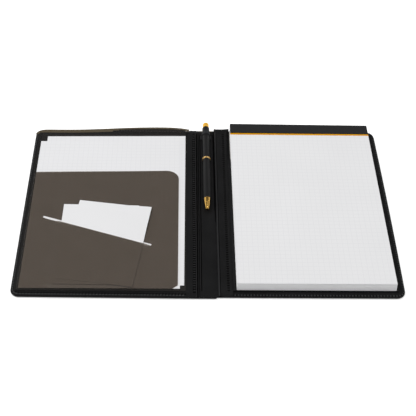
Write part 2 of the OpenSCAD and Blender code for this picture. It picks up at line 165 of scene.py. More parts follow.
def grain(owner, size, detail=3.0, kind="ShaderNodeTexNoise", output="Fac", **settings):
    """Noise or cells with features of the given size in metres, in the object's own place."""
    place = node(owner, "ShaderNodeTexCoord", {})["Object"]
    inputs = {"Vector": place, "Scale": 1 / size}
    if kind == "ShaderNodeTexNoise":
        inputs["Detail"] = detail
    return node(owner, kind, inputs, **settings)[output]


# fine pebble grain of 1.1 mm, drawn a little coarser than the real 0.7 mm so that it shows
pebbles = grain(leatherette, 0.0011, kind="ShaderNodeTexVoronoi", output="Distance")
creases = grain(leatherette, 0.0065, 4.0)
patches = grain(leatherette, 0.03, 2.0)
wear_and_painted_light = node(leatherette, "ShaderNodeMapRange", {"Value": patches, 1: 0.35, 2: 0.7, 3: 0.0, 4: 1.0})[0]
skin_colour = node(leatherette, "ShaderNodeMix", {0: wear_and_painted_light, 6: colour("0E0E0F"), 7: colour("151516")},
                   data_type="RGBA")[2]
# a pressed ridge is painted paler, as a painted highlight; its mesh says how much
painted_ridge_highlight = node(leatherette, "ShaderNodeAttribute", {}, attribute_name="painted_ridge_highlight")["Fac"]
skin_colour = node(leatherette, "ShaderNodeMix", {0: painted_ridge_highlight, 6: skin_colour, 7: colour("2E2E2F")},
                   data_type="RGBA")[2]
height = node(leatherette, "ShaderNodeMath", {0: pebbles, 1: creases}, operation="ADD")[0]
bump = node(leatherette, "ShaderNodeBump", {"Height": height, "Distance": 0.00012, "Strength": 0.5})[0]
shine = node(leatherette, "ShaderNodeMapRange", {"Value": creases, 1: 0.3, 2: 0.7, 3: 0.42, 4: 0.58})[0]
coat = node(leatherette, "ShaderNodeBsdfPrincipled", {
    "Base Color": skin_colour, "Roughness": shine, "Normal": bump, "Specular IOR Level": 0.12})[0]
node(leatherette, "ShaderNodeOutputMaterial", {"Surface": coat})


def block(name, low, high):
    """A box between two corners, open in edit mode, with its object at the origin."""
    low, high = Vector(low), Vector(high)
    bpy.ops.mesh.primitive_cube_add(size=1, location=(low + high) / 2, scale=high - low)
    made = bpy.context.object
    made.name = name
    bpy.ops.object.transform_apply()
    bpy.ops.object.mode_set(mode="EDIT")
    return made


def pick(kind, test):
    """Selects only those vertices, edges or faces whose middle passes the test."""
    mode = {"verts": "VERT", "edges": "EDGE", "faces": "FACE"}[kind]
    bpy.ops.mesh.select_mode(type=mode)
    bpy.ops.mesh.select_all(action="DESELECT")
    mesh = bmesh.from_edit_mesh(bpy.context.object.data)
    for e in getattr(mesh, kind):
        corners = [e] if kind == "verts" else e.verts
        middle = sum((v.co for v in corners), Vector()) / len(corners)
        e.select_set(bool(test(middle, e)))
    mesh.select_flush_mode()
    bmesh.update_edit_mesh(bpy.context.object.data)


def cut_across(origin, direction, places):
    """Cuts the whole piece square to a direction, at these distances from a point along it."""
    for place in places:
        bpy.ops.mesh.select_all(action="SELECT")
        bpy.ops.mesh.bisect(plane_co=origin + direction * place, plane_no=direction)


def cut(axis, *places):
    """Cuts the whole piece square to an axis, so that it can bend or step there."""
    direction = Vector()
    direction[axis] = 1
    cut_across(Vector(), direction, places)


def leave_edit(angle=40):
    """Closes edit mode and shades the piece smooth, apart from its sharp edges."""
    bpy.ops.object.mode_set(mode="OBJECT")
    bpy.ops.object.shade_smooth_by_angle(angle=math.radians(angle))
    return bpy.context.object


def apply_modifiers(piece):
    """Applies every modifier of a piece, in order."""
    bpy.context.view_layer.objects.active = piece
    for m in list(piece.modifiers):
        bpy.ops.object.modifier_apply(modifier=m.name)


def done(piece, body, material):
    """Gives a finished piece its material, and says what it rides on."""
    piece.data.materials.clear()
    piece.data.materials.append(material)
    if body:
        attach(piece, body)
    piece.select_set(False)


skin_low, skin_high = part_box("right_skin")
edge_x, half_h, hem_top = skin_high.x, skin_high.y, skin_high.z
block_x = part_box("right_lining")[0].x
hem_w = 0.007
hem_under, hem_squeeze = 0.0009, 0.25
corner_r = 0.008
skin_t = 0.0008
spine_drop = -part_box("spine_skin")[0].y - half_h
spine_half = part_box("spine_lining")[1].x
fold_x = skin_low.x
edge_bow = 0.00075
# where the left foot edge starts to run down to the spine, and where the right one is stepped
run_x, step_x = 0.0135, 0.0076
# the hem sinks between these two, where no board is under it
sink_start, sink_end = 0.0068, 0.0128


def ease(t):
    """A smooth rise from 0 to 1 while t goes from 0 to 1."""
    t = min(max(t, 0), 1)
    return t * t * (3 - 2 * t)


def steps(start, end, pitch):
    """The places between two ends at about the given pitch, without the ends."""
    count = max(1, round(abs(end - start) / pitch))
    return [start + (end - start) * i / count for i in range(1, count)]


def foot_drop(x, y, side):
    """How much lower the foot edge stands near the spine: the left cover runs down to it, and the
    right one is stepped."""
    step = 1 - max(x - run_x, 0) / edge_x if side < 0 else ease((step_x - x) / 0.0009)
    return spine_drop * step * ease(-y / half_h * 8 - 7)


def half_skin(name, side):
    """Outer skin of one cover and half the spine, on the right for side 1 and the left for -1."""
    made = block(name, (0, -half_h, 0), (edge_x, half_h, hem_top))
    pick("edges", lambda m, e: m.x > edge_x - 1e-5 and abs(m.z - hem_top / 2) < 1e-5)
    bpy.ops.mesh.bevel(offset=corner_r, segments=8, affect="EDGES")
    pick("edges", lambda m, e: (m.z < 1e-6 or m.z > hem_top - 1e-6) and m.x > 1e-5)
    bpy.ops.mesh.bevel(offset=hem_top / 2 - 0.00005, segments=5, affect="EDGES")
    # cut finely beside the fold line, to bend and sink there
    cut(0, 0.0045, 0.0058, 0.0068, 0.0074, 0.0082, fold_x, 0.0106, 0.0118, block_x + 0.0004, 0.0138,
        0.0155, 0.0172, 0.019, edge_x - hem_w)
    cut(1, -half_h + hem_w, half_h - hem_w, *steps(-half_h + hem_w, half_h - hem_w, 0.02))
    inner = half_h - hem_w
    pick("faces", lambda m, f: f.normal.z > 0.9 and abs(m.y) < inner and m.x < edge_x - hem_w)
    bpy.ops.mesh.extrude_region_move(TRANSFORM_OT_translate={"value": (0, 0, skin_t - hem_top)})
    # the opening's edge, where the hem ends, is a little rounded
    pick("edges", lambda m, e: m.z > hem_top - 1e-6 and not e.is_boundary
         and (abs(abs(m.y) - inner) < 1e-6 and m.x < edge_x - hem_w + 1e-6
              or abs(m.x - edge_x + hem_w) < 1e-6 and abs(m.y) < inner))
    bpy.ops.mesh.bevel(offset=0.00025, segments=2, affect="EDGES")
    bpy.ops.object.mode_set(mode="OBJECT")
    for v in made.data.vertices:
        # the right cover's outer edge is turned in by hand and bows out a little
        if side > 0:
            v.co.x += edge_bow * (1 - (v.co.y / half_h) ** 2) * ease((v.co.x - edge_x + hem_w) / 0.004)
        # the hem is thinner under the gutter liner and sinks between the boards
        if v.co.z > hem_under:
            liner_end = 0.0185 if side < 0 else 0.0145
            covered = ease((liner_end - v.co.x) / 0.0028)
            sunk = ease((v.co.x - sink_start) / 0.0014) * ease((sink_end - v.co.x) / 0.0022)
            v.co.z = hem_under + (v.co.z - hem_under) * (1 - hem_squeeze * (covered + sunk))
        v.co.y -= foot_drop(v.co.x, v.co.y, side)
    if side < 0:
        made.data.transform(Matrix.Scale(-1, 4, (1, 0, 0)))
        made.data.flip_normals()
    bpy.ops.object.shade_smooth_by_angle(angle=math.radians(50))
    return made


right_outer = half_skin("outer_skin_right", 1)
done(right_outer, None, leatherette)
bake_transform(right_outer)
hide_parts("right_skin", "spine_skin")
left_outer = half_skin("outer_skin_left", -1)
done(left_outer, None, leatherette)
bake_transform(left_outer)
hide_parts("left_skin")

# ---------------------------------------------------------------- boards
# Grey bookbinding board, 1.7 mm, cut smooth: warm grey, flecked with fibres, without gloss. It is
# glued inside the skin and shows nowhere while the case is whole.
greyboard = new_material("grey_bookbinding_board")
fibres = grain(greyboard, 0.0016, 6.0)
board_colour = node(greyboard, "ShaderNodeMix", {0: fibres, 6: colour("85807A"), 7: colour("A9A49B")},
                    data_type="RGBA")[2]
bump = node(greyboard, "ShaderNodeBump", {"Height": fibres, "Distance": 0.00008})[0]
board_face = node(greyboard, "ShaderNodeBsdfPrincipled", {
    "Base Color": board_colour, "Roughness": 0.85, "Normal": bump, "Specular IOR Level": 0.3})[0]
node(greyboard, "ShaderNodeOutputMaterial", {"Surface": board_face})


def dress(material, *names):
    """Gives CAD pieces their material."""
    for name in names:
        cad_nodes[name].data.materials.clear()
        cad_nodes[name].data.materials.append(material)


dress(greyboard, "right_board", "spine_board", "left_board")

# ---------------------------------------------------------------- lining
# Smooth black polyester cloth, plain weave, glued over the boards. It is matt and even, with no
# more than a trace of lint.
cloth = new_material("black_lining_cloth")


def weave(owner, pitch):
    """Plain weave: two crossed rows of threads, drawn at the given pitch in metres."""
    place = node(owner, "ShaderNodeTexCoord", {})["Object"]
    rows = [node(owner, "ShaderNodeTexWave", {"Vector": place, "Scale": 0.314 / pitch, "Distortion": 0.4},
                 bands_direction=axis, wave_profile="SIN")["Fac"] for axis in ("X", "Y")]
    return node(owner, "ShaderNodeMath", {0: rows[0], 1: rows[1]}, operation="MULTIPLY")[0]


# threads of 0.25 mm, drawn at 0.8 mm so that they show
threads = weave(cloth, 0.0008)
lint = grain(cloth, 0.02)
cloth_colour = node(cloth, "ShaderNodeMix", {0: lint, 6: colour("141415"), 7: colour("1B1B1C")},
                    data_type="RGBA")[2]
bump = node(cloth, "ShaderNodeBump", {"Height": threads, "Distance": 0.00006, "Strength": 0.6})[0]
cloth_face = node(cloth, "ShaderNodeBsdfPrincipled", {
    "Base Color": cloth_colour, "Roughness": 0.75, "Normal": bump, "Specular IOR Level": 0.15,
    "Sheen Weight": 0.02, "Sheen Roughness": 0.5})[0]
node(cloth, "ShaderNodeOutputMaterial", {"Surface": cloth_face})
dress(cloth, "right_lining", "left_lining", "pad_pocket_flap")

# ---------------------------------------------------------------- gutter liner
# A strip of the same leatherette lines the spine and laps over both covers. Its folds are
# pressed in beside the boards, and it is sewn down to the left cover in a sunk channel.


def grid_piece(name, columns, rows, rule):
    """A sheet of cells. The rule gives the place of the point u of the way across and v of the way up."""
    bpy.ops.mesh.primitive_grid_add(x_subdivisions=columns, y_subdivisions=rows, size=2)
    made = bpy.context.object
    made.name = name
    for v in made.data.vertices:
        v.co = rule((v.co.x + 1) / 2, (v.co.y + 1) / 2)
    return made


def thicken(piece, amount, offset=-1.0, bevel=0.0):
    """Gives a sheet its thickness and, where asked for, slightly rounded edges."""
    shell = piece.modifiers.new("thickness", "SOLIDIFY")
    shell.thickness = amount
    shell.offset = offset
    if bevel:
        edge = piece.modifiers.new("edge", "BEVEL")
        edge.width = bevel
        edge.segments = 2
        edge.limit_method = "ANGLE"
    apply_modifiers(piece)
    bpy.ops.object.shade_smooth_by_angle(angle=math.radians(40))
    return piece


def along(points, u):
    """The point u of the way along a list of evenly numbered points."""
    at = u * (len(points) - 1)
    i = min(int(at), len(points) - 2)
    return Vector(points[i]).lerp(Vector(points[i + 1]), at - i)


# where the coat is creased sharply or pierced by the needle it is painted black without gloss, as painted
# shade
painted_shade = new_material("leatherette_painted_shade")
painted_shade_grain = grain(painted_shade, 0.0005, 2.0)
painted_shade_colour = node(painted_shade, "ShaderNodeMix", {0: painted_shade_grain, 6: colour("030303"), 7: colour("070707")},
                     data_type="RGBA")[2]
painted_shade_face = node(painted_shade, "ShaderNodeBsdfPrincipled", {
    "Base Color": painted_shade_colour, "Roughness": 0.9, "Specular IOR Level": 0.05})[0]
node(painted_shade, "ShaderNodeOutputMaterial", {"Surface": painted_shade_face})

# across each half, from the middle of the spine: (distance out, height in mm, painted light), where
# painted light runs from 1, a painted highlight on a ridge, to -1, painted shade in a crease
right_section = [(0, 3.02, 0), (2.5, 3.04, 0), (5, 3.0, 0), (6.4, 2.8, 0), (7.3, 2.35, 0), (7.75, 1.95, -1),
                 (8.45, 1.85, -1), (8.65, 2.7, 0.1), (8.9, 3.8, 0.5), (9.3, 4.5, 0.8), (9.8, 4.7, 0.7),
                 (10.3, 4.6, 0.3), (10.65, 4.3, 0), (10.75, 4.05, -1), (11.05, 4.05, -1), (11.25, 4.25, 0.2),
                 (12.0, 4.2, 0), (13.5, 4.15, 0), (15.5, 4.15, 0), (16.3, 4.2, 0), (17.0, 4.22, 0),
                 (19.2, 4.4, 0), (19.9, 4.45, 0), (20.4, 4.65, 0), (21.4, 4.85, 0), (22.2, 4.95, 0)]
left_section = [(0, 3.02, 0), (2.5, 3.04, 0), (5.2, 3.0, 0), (5.8, 2.95, 0.1), (6.0, 2.6, -1),
                (6.65, 2.6, -1), (6.85, 2.95, 0.1), (7.3, 3.1, 0.25), (7.7, 2.95, 0.1), (7.9, 2.6, -0.9),
                (8.3, 2.6, -0.9), (8.5, 2.95, 0.1), (8.9, 3.1, 0.15), (9.3, 2.95, 0), (9.5, 2.5, -1),
                (10.2, 2.5, -1), (10.4, 3.2, 0.1), (10.8, 3.7, 0.35), (11.25, 3.75, 0.25), (11.6, 3.55, 0),
                (11.75, 3.4, 0), (14.3, 3.4, 0), (14.45, 3.55, 0), (14.8, 3.7, 0.1), (16.0, 3.75, 0),
                (18.6, 3.6, 0), (19.8, 3.4, 0)]
stitch_pitch, gutter_pitch = 0.0029, 0.00294
per_stitch = 4
liner_inset, liner_t = 0.0003, 0.0004
gutter_stop = 0.0045
# a cell is painted black, as shade, where its corners' painted light adds up to less than this
painted_shade_limit = -1.55
# in mm: where the right half rises to its cover, the heights it is pressed to at the head over the
# spine and over a cover, its least height on the hem, and how far its ends are turned down
rise_x, spine_press, cover_press, over_hem, turn_down = 8.5, 3.1, 4.25, 2.4, 1.2


def liner(name, section, side, channel, dent, shade, pitch, phase):
    """Half the gutter liner, turned down over both ends. Between the channel's two edges, in mm, it
    has a dent with painted shade at each stitch."""
    rows = per_stitch * int((2 * half_h - 0.001) / pitch)
    shades = []

    def place(u, v):
        out, up, wear_and_painted_light = along(section, u)
        i = round(v * rows)
        y = -half_h + liner_inset + pitch * i / per_stitch
        if i == rows:
            y = half_h - liner_inset
        low_part = side < 0 or out < rise_x
        # the folds are pressed flat over the hem at the head
        pressed = spine_press if low_part else cover_press
        head = ease((y - half_h + hem_w - 0.0012) / 0.0016)
        up += (max(up, pressed) - up) * head
        # and the painted highlight and shade fade there
        wear_and_painted_light *= 1 - head * (1 if side < 0 else 0.5)
        # beside the pen's point the right crease runs out, and its painted shade with it
        if side > 0 and 7 < out < 8.6:
            shallow = 0.85 * ease((0.012 - y) / 0.05)
            up += (2.8 - up) * shallow
            wear_and_painted_light *= 1 - shallow
        # over the hem the liner lies on the skin, and at the head it swells round the boards' ends
        if abs(y) > half_h - hem_w - 0.001:
            up = max(up, over_hem)
        bulge = ease((y - half_h + 0.004) / 0.004) * (1 - ease((out - 17) / 3) if side < 0 else 1)
        if side > 0:
            out += 2.4 * ease((out - 19) / 3.2) * ease((y - half_h + 0.0048) / 0.002)
        swell_y, swell_up = (0.001, 0.4) if low_part else (0.0024, 0.9)
        y += swell_y * bulge
        up += swell_up * bulge
        # each stitch in the channel is a dent, painted darker as its shade
        if channel[0] < out < channel[1] and i % per_stitch == phase and abs(y) < half_h - gutter_stop:
            up -= dent
            wear_and_painted_light -= shade
        y -= foot_drop(out / 1000, y, side)
        # both ends are turned down
        if i in (0, rows):
            up -= turn_down
        elif i in (1, rows - 1):
            up -= 0.08
        shades.append(wear_and_painted_light)
        return side * out / 1000, y, up / 1000

    made = grid_piece(name, len(section) - 1, rows, place)
    # the painted highlight goes onto the mesh, and cells below the limit take the black of painted shade
    painted_ridge_highlight = made.data.attributes.new("painted_ridge_highlight", "FLOAT", "POINT")
    for i, wear_and_painted_light in enumerate(shades):
        painted_ridge_highlight.data[i].value = max(wear_and_painted_light, 0)
    dark = [sum(shades[i] for i in f.vertices) < painted_shade_limit for f in made.data.polygons]
    made.data.materials.append(leatherette)
    made.data.materials.append(painted_shade)
    for f, is_dark in zip(made.data.polygons, dark):
        f.material_index = int(is_dark)
    thicken(made, liner_t, offset=-side)
    made.select_set(False)
    return made


right_liner = liner("gutter_liner_right", right_section, 1, channel=(16.9, 19.4), dent=0.35, shade=0.9,
                    pitch=0.00299, phase=0)
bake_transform(right_liner)
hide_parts("spine_lining")
left_liner = liner("gutter_liner_left", left_section, -1, channel=(11.7, 14.35), dent=0.34, shade=2.0,
                   pitch=gutter_pitch, phase=3)
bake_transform(left_liner)

# ---------------------------------------------------------------- stitching
# Black bonded polyester thread, lockstitched through hem and board at 2.9 mm a stitch, and a
# hair longer in the gutter.


def polyester(name, tint, gloss):
    """Twisted thread, whose strands of 0.2 mm are drawn at 0.4 mm."""
    made = new_material(name)
    twist = grain(made, 0.0004, 2.0)
    bump = node(made, "ShaderNodeBump", {"Height": twist, "Distance": 0.00008})[0]
    face = node(made, "ShaderNodeBsdfPrincipled", {
        "Base Color": colour(tint), "Roughness": 0.45, "Normal": bump, "Specular IOR Level": gloss})[0]
    node(made, "ShaderNodeOutputMaterial", {"Surface": face})
    return made


thread = polyester("bonded_polyester_thread", "2C2C2D", 0.3)
# the thread in the gutter is pulled into shade and carries less light
sunk_thread = polyester("sunk_polyester_thread", "2A2A2B", 0.22)


def stitches(name, path, body, material, start, length, width, height, pitch=stitch_pitch):
    """A row of stitches, half sunk, along a path of points at one height."""
    bpy.ops.curve.primitive_nurbs_path_add()
    rail = bpy.context.object
    rail.data.splines.clear()
    rail.data.dimensions = "2D"
    spline = rail.data.splines.new("POLY")
    spline.points.add(len(path) - 1)
    for point, place in zip(spline.points, path):
        point.co = (place[0], place[1], 0, 1)
    total = sum(math.dist(a[:2], b[:2]) for a, b in zip(path, path[1:]))
    bpy.ops.mesh.primitive_uv_sphere_add(segments=8, ring_count=6, radius=0.5,
                                         scale=(length, width, height))
    made = bpy.context.object
    made.name = name
    bpy.ops.object.transform_apply()
    made.data.transform(Matrix.Translation((length / 2 + start, 0, 0)))
    row = made.modifiers.new("row", "ARRAY")
    row.fit_type = "FIXED_COUNT"
    row.count = int((total - start) / pitch)
    row.use_relative_offset = False
    row.use_constant_offset = True
    row.constant_offset_displace = (pitch, 0, 0)
    follow = made.modifiers.new("follow", "CURVE")
    follow.object = rail
    apply_modifiers(made)
    made.data.transform(Matrix.Translation((0, 0, path[0][2])))
    bpy.data.objects.remove(rail)
    for polygon in made.data.polygons:
        polygon.use_smooth = True
    done(made, body, material)


def hem_path(side, start_x, inset, z):
    """Round the three free sides of a cover, from the near end of the fold to the far one."""
    r = corner_r - inset
    x, y = edge_x - inset, half_h - inset
    drop = foot_drop(start_x, -half_h, side)
    arc = [math.radians(a) for a in range(0, 91, 15)]
    near = [(x - r + r * math.sin(a), -y + r - r * math.cos(a)) for a in arc]
    far = [(x - r + r * math.cos(a), y - r + r * math.sin(a)) for a in arc]
    return [(side * px, py, z) for px, py in [(start_x, -y - drop), *near, *far, (start_x, y)]]


# the rows start beside the gutter liner
left_start, right_start = 0.0205, 0.0222
# dark ovals of painted shade mark the needle holes: on the left sunk behind the stitches, on the right in
# one row
stitches("hem_stitching_left", hem_path(-1, left_start, 0.0019, hem_top - 0.00006), "left_cover", thread,
         start=0.0017, length=0.0023, width=0.0015, height=0.0006)
stitches("hem_hole_painted_shade_left", hem_path(-1, left_start, 0.0034, hem_top), "left_cover", painted_shade,
         start=0, length=0.0019, width=0.0019, height=0.00014)
stitches("hem_stitching_right", hem_path(1, right_start, 0.0014, hem_top - 0.0001), "right_cover", thread,
         start=0.0009, length=0.0018, width=0.0017, height=0.0008)
stitches("hem_hole_painted_shade_right", hem_path(1, right_start, 0.0014, hem_top - 0.0001), "right_cover", painted_shade,
         start=-0.0003, length=0.0015, width=0.0021, height=0.0003)
# in the gutter the thread lies across the channel, drawn deep into each dent, which a dark oval of painted
# shade marks
gutter_x = -0.013
gutter_start = -half_h + liner_inset + gutter_pitch * 2
for name, material, start, length, z in (("gutter_dent_painted_shade", painted_shade, 0.00155, 0.0013, 0.00338),
                                         ("gutter_stitching", sunk_thread, 0.0004, 0.00065, 0.00345)):
    stitches(name, [(gutter_x, gutter_start, z), (gutter_x, half_h - gutter_stop, z)], "left_cover",
             material, start=start, length=length, width=0.0025, height=0.0003, pitch=gutter_pitch)

# ---------------------------------------------------------------- rear film pocket
# Smoke-brown polypropylene film, 0.3 mm, welded to the lining at the foot and the outer side.
# Its free head edge is folded over and gapes a little past the cover, over a lip of black cloth.


def smoke_film(name, scattered, body, tint_low, tint_high):
    """Film that scatters a share of the light in its own colour and tints what passes, at each face."""
    made = new_material(name)
    haze = grain(made, 0.02)
    scuffs = grain(made, 0.0012, 2.0)
    smoke = node(made, "ShaderNodeMix", {0: haze, 6: colour(tint_low), 7: colour(tint_high)},
                 data_type="RGBA")[2]
    bump = node(made, "ShaderNodeBump", {"Height": haze, "Distance": 0.0004, "Strength": 0.4})[0]
    shine = node(made, "ShaderNodeMapRange", {"Value": scuffs, 1: 0.3, 2: 0.7, 3: 0.3, 4: 0.42})[0]
    face = node(made, "ShaderNodeBsdfPrincipled", {
        "Base Color": colour(body), "Roughness": shine, "Normal": bump, "Specular IOR Level": 0.3})[0]
    passed = node(made, "ShaderNodeBsdfTransparent", {"Color": smoke})[0]
    mixed = node(made, "ShaderNodeMixShader", {0: scattered, 1: passed, 2: face})[0]
    node(made, "ShaderNodeOutputMaterial", {"Surface": mixed})
    return made


film = smoke_film("smoke_polypropylene_film", 0.32, "3B3A39", "E4DED7", "E8E2DC")
# where the film is folded back on itself it is nearly opaque and reads as brown
folded_film = smoke_film("folded_smoke_film", 0.8, "5C5240", "A09680", "A89E88")


def sheet_plane(name, low, high, z):
    """A flat sheet between two corners, open in edit mode."""
    bpy.ops.mesh.primitive_plane_add(size=1, location=((low.x + high.x) / 2, (low.y + high.y) / 2, z))
    made = bpy.context.object
    made.name = name
    made.scale = (high.x - low.x, high.y - low.y, 1)
    bpy.ops.object.transform_apply()
    bpy.ops.object.mode_set(mode="EDIT")
    return made


def gape(x, middle, left, right):
    """How far an edge springs open at x: most at its middle, running out to the left and right."""
    return math.exp(-((x - middle) / (left if x < middle else right)) ** 2)


def foot_tuck(y):
    """How far a film's foot edge is drawn up from the cover's edge."""
    return 0.0012 * ease((-0.104 - y) / 0.008)


low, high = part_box("rear_film_pocket")
rear_top = high.z
rear_r = 0.0095
rear_film = sheet_plane("rear_film", low, high, low.z)
pick("verts", lambda m, v: m.x < low.x + 1e-6 and m.y > high.y - 1e-6)
bpy.ops.mesh.bevel(offset=rear_r, segments=10, affect="VERTICES")
cut(0, *[low.x + d for d in (0.0008, 0.0016, 0.0028, 0.004, 0.005)])
cut(0, *steps(low.x, high.x, 0.006), -0.0225, -0.0245)
cut(1, 0.1106, 0.1118, 0.1135)
cut(1, *steps(0.085, 0.115, 0.003), 0.115, 0.1158, 0.1168, 0.1179, 0.119, 0.1202)
bpy.ops.object.mode_set(mode="OBJECT")
rear_film.data.materials.append(film)
rear_film.data.materials.append(folded_film)
# the fold is deep at the outer half and runs out to a bare edge towards the spine
deep_fold, thin_fold, deep_end, corner_fold = 0.1158, 0.119, -0.096, 0.003
for f in rear_film.data.polygons:
    fold_start = deep_fold if f.center.x < deep_end + (f.center.y - 0.118) * 2 else thin_fold
    in_corner = Vector((max(low.x + rear_r - f.center.x, 0), max(f.center.y - high.y + rear_r, 0)))
    round_corner = in_corner.length > rear_r - corner_fold and in_corner.y > 0
    f.material_index = int(f.center.y > fold_start or round_corner)
# its free head edge springs open round one place and lies further back at both ends
film_gape, film_back, outer_back = 0.003, 0.0025, 0.0024
corner_out, end_run, end_drop = 0.003, 0.0032, 0.0017
for v in rear_film.data.vertices:
    free = ease((v.co.y - 0.1) / 0.021)
    risen = film_gape * gape(v.co.x, middle=-0.045, left=0.055, right=0.03)
    v.co.y += (risen - film_back - outer_back * ease((-0.07 - v.co.x) / 0.08)) * free
    # its outer corner stands out over the hem
    v.co.x -= corner_out * ease((v.co.y - 0.098) / 0.013) * ease((-0.165 - v.co.x) / 0.01)
    # past the cover the film runs on a little towards the spine, and drops away there
    v.co.x += end_run * ease((v.co.y - 0.113) / 0.0025) * ease((v.co.x + 0.034) / 0.013)
    v.co.y -= end_drop * free * ease((v.co.x + 0.030) / 0.013)
    v.co.y += foot_tuck(v.co.y)
thicken(rear_film, high.z - low.z, offset=1)
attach(rear_film, "left_cover")
rear_film.select_set(False)
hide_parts("rear_film_pocket")
# the lip of lining cloth that shows under the film's open head edge
lip_low, lip_high = Vector((-0.106, 0.1155, 0)), Vector((high.x - 0.0006, 0.1188, 0))
lip_gape, lip_back, lip_end, lip_t = 0.0015, 0.0003, 0.0035, 0.00022
lip = sheet_plane("pocket_backing_lip", lip_low, lip_high, low.z - 0.00026)
cut(0, *steps(lip_low.x, lip_high.x, 0.004))
cut(1, *steps(lip_low.y, lip_high.y, 0.0011))
bpy.ops.object.mode_set(mode="OBJECT")
for v in lip.data.vertices:
    free = ease((v.co.y - 0.108) / 0.011)
    risen = lip_gape * gape(v.co.x, middle=-0.052, left=0.052, right=0.03)
    v.co.y += (risen - lip_back - lip_end * ease((-0.094 - v.co.x) / 0.012)) * free
thicken(lip, lip_t, offset=1)
done(lip, "left_cover", cloth)

# ---------------------------------------------------------------- loose sheets and cards
# Two sheets of uncoated writing paper, 80 g, printed with a pale grey 5 mm grid, and two plain
# white note cards. All are loose: the sheets lie between the two films, the cards in the slot.


def grid_lines(owner, corner, pitch=0.005, line=0.00022):
    """1 on the printed lines of a square grid that starts at a corner of the sheet, 0 between them."""
    place = node(owner, "ShaderNodeTexCoord", {})["Object"]
    moved = node(owner, "ShaderNodeMapping", {"Vector": place, "Location": (-corner[0], -corner[1], 0)})[0]
    axes = node(owner, "ShaderNodeSeparateXYZ", {0: moved})
    near = [node(owner, "ShaderNodeMath", {0: axes[i], 1: pitch / 2}, operation="PINGPONG")[0]
            for i in (0, 1)]
    nearest = node(owner, "ShaderNodeMath", {0: near[0], 1: near[1]}, operation="MINIMUM")[0]
    return node(owner, "ShaderNodeMapRange", {"Value": nearest, 1: line / 2, 2: line, 3: 1.0, 4: 0.0})[0]


def paper(name, base, corner=None, line_colour="DDDDDF"):
    """Matt paper with fine fibres, and a printed grid if it is given a corner to start from."""
    made = new_material(name)
    fibre = grain(made, 0.0007, 4.0)
    cloud = grain(made, 0.05, 2.0)
    tint = node(made, "ShaderNodeMix", {0: cloud, 6: colour(base[0]), 7: colour(base[1])},
                data_type="RGBA")[2]
    if corner:
        lines = grid_lines(made, corner)
        tint = node(made, "ShaderNodeMix", {0: lines, 6: tint, 7: colour(line_colour)},
                    data_type="RGBA")[2]
    bump = node(made, "ShaderNodeBump", {"Height": fibre, "Distance": 0.00003, "Strength": 0.5})[0]
    face = node(made, "ShaderNodeBsdfPrincipled", {
        "Base Color": tint, "Roughness": 0.75, "Normal": bump, "Specular IOR Level": 0.2})[0]
    node(made, "ShaderNodeOutputMaterial", {"Surface": face})
    return made


# the grid's margins at the left and at the foot
margin_x, margin_y = 0.0015, 0.0025
# each sheet is torn off by hand, so neither is quite square nor quite as long as its pad: how far
# its foot, its head and its outer side stand off the solid's, and how far it is out of square
for name, body, foot, head, near, skew in (
        ("back_sheet", "loose_sheet_back", -0.0014, 0, 0.0023, 0.0013),
        ("front_sheet", "loose_sheet_front", 0.0015, -0.0025, 0.0009, 0)):
    low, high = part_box(name)
    squared = paper(name + "_squared_paper", ("E2E2E3", "E6E6E8"), (low.x + margin_x, low.y + margin_y))
    block(name + "_paper", low + Vector((near, foot, 0)), high + Vector((0, head, 0)))
    sheet = leave_edit()
    for v in sheet.data.vertices:
        right = v.co.x > (low.x + high.x) / 2
        if v.co.y > 0:
            v.co.y += skew * (1 if right else -1)
        elif right:
            v.co.x -= skew * 0.7
    done(sheet, body, squared)
    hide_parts(name)
card_stock = paper("white_card", ("E2E2E3", "E6E6E7"))
dress(card_stock, "left_card")

# ---------------------------------------------------------------- front film pocket
# A lower sleeve of the same film with a round-cornered head edge and a slanting slot. The note
# cards pass through the slot: they lie on the film above it and behind the film below it.
low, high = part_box("front_film_pocket")
# its head edge slopes down outwards by 4 mm, and it has one round and one clipped corner
front_slope, front_r, front_clip = 0.004, 0.013, 0.006
slot_middle = Vector((-0.1069, -0.0358, 0))
slot_turn = math.radians(-19.5)
slot_half, slot_w = 0.0563, 0.0023
film_reach = 0.088
along_slot = Vector((math.cos(slot_turn), math.sin(slot_turn), 0))
up_slot = Vector((-math.sin(slot_turn), math.cos(slot_turn), 0))
front_film = sheet_plane("front_film", low, high, 0)
pick("verts", lambda m, v: m.x < low.x + 1e-6 and m.y > high.y - 1e-6)
bpy.ops.transform.translate(value=(0, -front_slope, 0))
pick("verts", lambda m, v: m.x > high.x - 1e-6 and m.y > high.y - 1e-6)
bpy.ops.mesh.bevel(offset=front_r, segments=10, affect="VERTICES")
pick("verts", lambda m, v: m.x > high.x - 1e-6 and m.y < low.y + 1e-6)
bpy.ops.mesh.bevel(offset=front_clip, segments=1, affect="VERTICES")
cut(0, low.x + 0.0003, low.x + 0.0006, low.x + 0.0012)
cut(1, low.y + 0.0003, low.y + 0.0006, low.y + 0.0012, low.y + 0.0018, low.y + 0.0025, low.y + 0.004)
cut_across(slot_middle, along_slot, [
    *steps(-film_reach, -slot_half, 0.004), *steps(-slot_half - 0.0035, slot_half + 0.0035, 0.0035),
    *steps(slot_half, film_reach, 0.004), -slot_half, slot_half])
cut_across(slot_middle, up_slot, [
    *steps(-0.11, -0.003, 0.0045), -0.003, -slot_w / 2, slot_w / 2, 0.003, 0.006, 0.012, 0.02, 0.03,
    0.045, 0.06, 0.08, 0.1, 0.12])
pick("faces", lambda m, f: abs((m - slot_middle).dot(along_slot)) < slot_half
     and abs((m - slot_middle).dot(up_slot)) < slot_w / 2)
bpy.ops.mesh.delete(type="FACE")
pick("verts", lambda m, v: abs(abs((m - slot_middle).dot(along_slot)) - slot_half) < 1e-5
     and abs(abs((m - slot_middle).dot(up_slot)) - slot_w / 2) < 1e-5)
